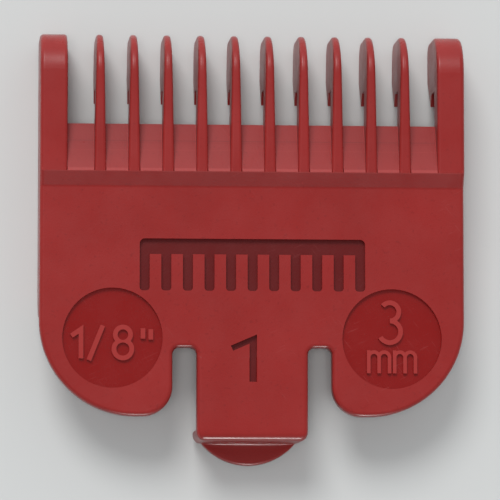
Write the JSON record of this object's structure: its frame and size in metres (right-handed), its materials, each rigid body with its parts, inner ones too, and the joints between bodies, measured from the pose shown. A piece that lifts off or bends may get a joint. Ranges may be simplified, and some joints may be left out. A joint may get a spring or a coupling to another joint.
{
  "type": "clipper guard comb",
  "caption": "Clip-on guard comb for a hair clipper blade: thin teeth that hold the blade 3 mm off the skin, side walls and a springy latch tongue with a thumb tab.",
  "frame": {"origin": "under the middle of the bounding box, on the plane that the comb lies on with its inner side down", "axes": "+X across the width, +Y towards the tips of the teeth, +Z away from the blade, out of the outer face"},
  "size_m": [0.049, 0.0498, 0.01],
  "materials": {
    "nylon": "red nylon moulding, satin, slightly translucent"
  },
  "bodies": {
    "comb": {"comb_plate": "nylon", "root_bar": "nylon", "tooth_webs": "nylon", "side_wall_left": "nylon", "side_wall_right": "nylon", "tooth_01": "nylon", "tooth_02": "nylon", "tooth_03": "nylon", "tooth_04": "nylon", "tooth_05": "nylon", "tooth_06": "nylon", "tooth_07": "nylon", "tooth_08": "nylon", "tooth_09": "nylon", "tooth_10": "nylon", "tooth_11": "nylon", "tooth_12": "nylon", "size_mark_inch": "nylon", "size_mark_metric": "nylon"},
    "latch": {"latch_tongue": "nylon", "latch_wall": "nylon", "latch_barb": "nylon", "thumb_tab": "nylon"}
  },
  "joints": [
    {"name": "tongue_flex", "type": "hinge", "parent": "comb", "child": "latch", "pos_m": [0, -0.0131, 0.008], "axis": [-1, 0, 0], "range_deg": [0, 12], "stiffness_Nm_per_rad": 1.2}
  ]
}
